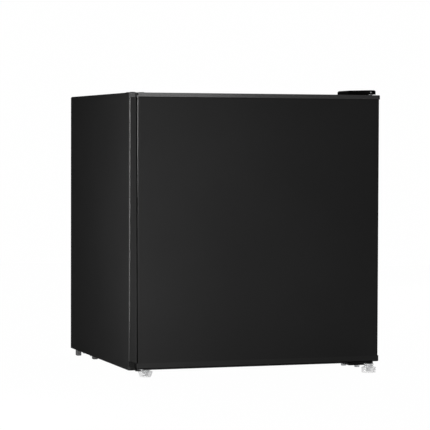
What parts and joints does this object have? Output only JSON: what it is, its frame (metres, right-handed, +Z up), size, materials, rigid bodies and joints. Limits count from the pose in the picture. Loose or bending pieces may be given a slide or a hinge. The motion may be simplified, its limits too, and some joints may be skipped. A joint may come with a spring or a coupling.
{
  "type": "compact refrigerator",
  "caption": "Compact cube refrigerator: foamed steel cabinet, right-hinged flat door, chiller with flap and drip tray, glass shelf, door bins, rear compressor and condenser.",
  "frame": {"origin": "on the floor, under the middle of the whole", "axes": "+Z up, front at -Y, hinge side at +X"},
  "size_m": [0.449, 0.472, 0.4995],
  "materials": {
    "black_paint": "satin",
    "black_plastic": "satin",
    "galvanised_sheet": "satin",
    "foam": "matte",
    "white_liner": "gloss",
    "white_plastic": "satin",
    "clear_plastic": "gloss",
    "shelf_glass": "gloss",
    "grey_seal": "matte",
    "magnet": "matte",
    "rear_foot_plastic": "matte",
    "bright_zinc": "satin",
    "compressor_black": "gloss",
    "motor_iron": "matte",
    "copper": "satin",
    "aluminium_plate": "satin",
    "switch_plastic": "matte"
  },
  "bodies": {
    "cabinet": {"cabinet_wrapper": "black_paint", "top_hinge_plate": "black_paint", "bottom_hinge_bracket": "black_paint", "top_hinge_cover": "black_plastic", "relay_cover": "black_plastic", "hinge_hole_plugs": "black_plastic", "back_panel": "galvanised_sheet", "bottom_pan": "galvanised_sheet", "base_plate": "galvanised_sheet", "compressor_mounts": "galvanised_sheet", "condenser_brackets": "galvanised_sheet", "cabinet_foam": "foam", "inner_liner": "white_liner", "chiller_frame": "white_plastic", "tray_rails": "white_plastic", "thermostat_housing": "white_plastic", "compressor_grommets": "grey_seal", "cord_gland": "grey_seal", "rear_feet": "rear_foot_plastic", "rear_screws": "bright_zinc", "base_plate_screws": "bright_zinc", "compressor_bolts": "bright_zinc", "liner_screws": "bright_zinc", "top_hinge_pin": "bright_zinc", "top_hinge_screws": "bright_zinc", "bottom_hinge_pin": "bright_zinc", "bottom_hinge_screws": "bright_zinc", "left_foot_stud": "bright_zinc", "compressor_lower_shell": "compressor_black", "compressor_upper_shell": "compressor_black", "condenser_tubes": "compressor_black", "condenser_wires": "compressor_black", "discharge_line": "compressor_black", "motor_pump": "motor_iron", "filter_drier": "copper", "capillary_tube": "copper", "suction_line": "copper", "sensor_tube": "copper", "evaporator": "aluminium_plate", "thermostat_switch": "switch_plastic"},
    "door": {"door_skin": "black_paint", "door_top_cap": "black_plastic", "door_bottom_cap": "black_plastic", "door_foam": "foam", "door_liner": "white_liner", "door_gasket": "grey_seal", "gasket_magnets": "magnet", "door_hinge_bushes": "white_plastic", "door_cap_plugs": "black_plastic"},
    "upper_bin": {"upper_door_bin": "clear_plastic"},
    "lower_bin": {"lower_door_bin": "clear_plastic"},
    "chiller_flap": {"chiller_flap": "clear_plastic"},
    "drip_tray": {"drip_tray": "white_plastic"},
    "shelf": {"shelf_glass": "shelf_glass", "shelf_trim": "white_plastic"},
    "thermostat_knob": {"thermostat_knob": "white_plastic"},
    "left_foot_carrier": {"left_foot_insert": "bright_zinc"},
    "left_foot": {"left_foot_knob": "white_plastic"},
    "right_foot_carrier": {"right_foot_insert": "bright_zinc"},
    "right_foot": {"right_foot_knob": "white_plastic"}
  },
  "joints": [
    {"name": "door_hinge", "type": "hinge", "parent": "cabinet", "child": "door", "pos_m": [0.212, -0.218, 0.25], "axis": [0, 0, 1], "range_deg": [0, 130]},
    {"name": "upper_bin_lift", "type": "slide", "parent": "door", "child": "upper_bin", "axis": [0, 0, 1], "range_m": [0, 0.008]},
    {"name": "lower_bin_lift", "type": "slide", "parent": "door", "child": "lower_bin", "axis": [0, 0, 1], "range_m": [0, 0.03]},
    {"name": "flap_hinge", "type": "hinge", "parent": "cabinet", "child": "chiller_flap", "pos_m": [-0.0465, -0.0453, 0.4445], "axis": [-1, 0, 0], "range_deg": [0, 90]},
    {"name": "tray_slide", "type": "slide", "parent": "cabinet", "child": "drip_tray", "axis": [0, -1, 0], "range_m": [0, 0.1]},
    {"name": "shelf_slide", "type": "slide", "parent": "cabinet", "child": "shelf", "axis": [0, -1, 0], "range_m": [0, 0.07]},
    {"name": "knob_turn", "type": "hinge", "parent": "cabinet", "child": "thermostat_knob", "pos_m": [0.1385, -0.07, 0.431], "axis": [0, -1, 0], "range_deg": [-150, 150]},
    {"name": "left_foot_lower", "type": "slide", "parent": "cabinet", "child": "left_foot_carrier", "axis": [0, 0, -1], "range_m": [0, 0.0071]},
    {"name": "left_foot_turn", "type": "hinge", "parent": "left_foot_carrier", "child": "left_foot", "pos_m": [-0.187, -0.171, 0.005], "axis": [0, 0, -1], "range_deg": [0, 1260]},
    {"name": "right_foot_lower", "type": "slide", "parent": "cabinet", "child": "right_foot_carrier", "axis": [0, 0, -1], "range_m": [0, 0.0071]},
    {"name": "right_foot_turn", "type": "hinge", "parent": "right_foot_carrier", "child": "right_foot", "pos_m": [0.212, -0.218, 0.005], "axis": [0, 0, -1], "range_deg": [0, 1260]}
  ],
  "couplings": [
    {"joint": "left_foot_lower", "follows": "left_foot_turn", "m_per_rad": 0.00031831},
    {"joint": "right_foot_lower", "follows": "right_foot_turn", "m_per_rad": 0.00031831}
  ]
}
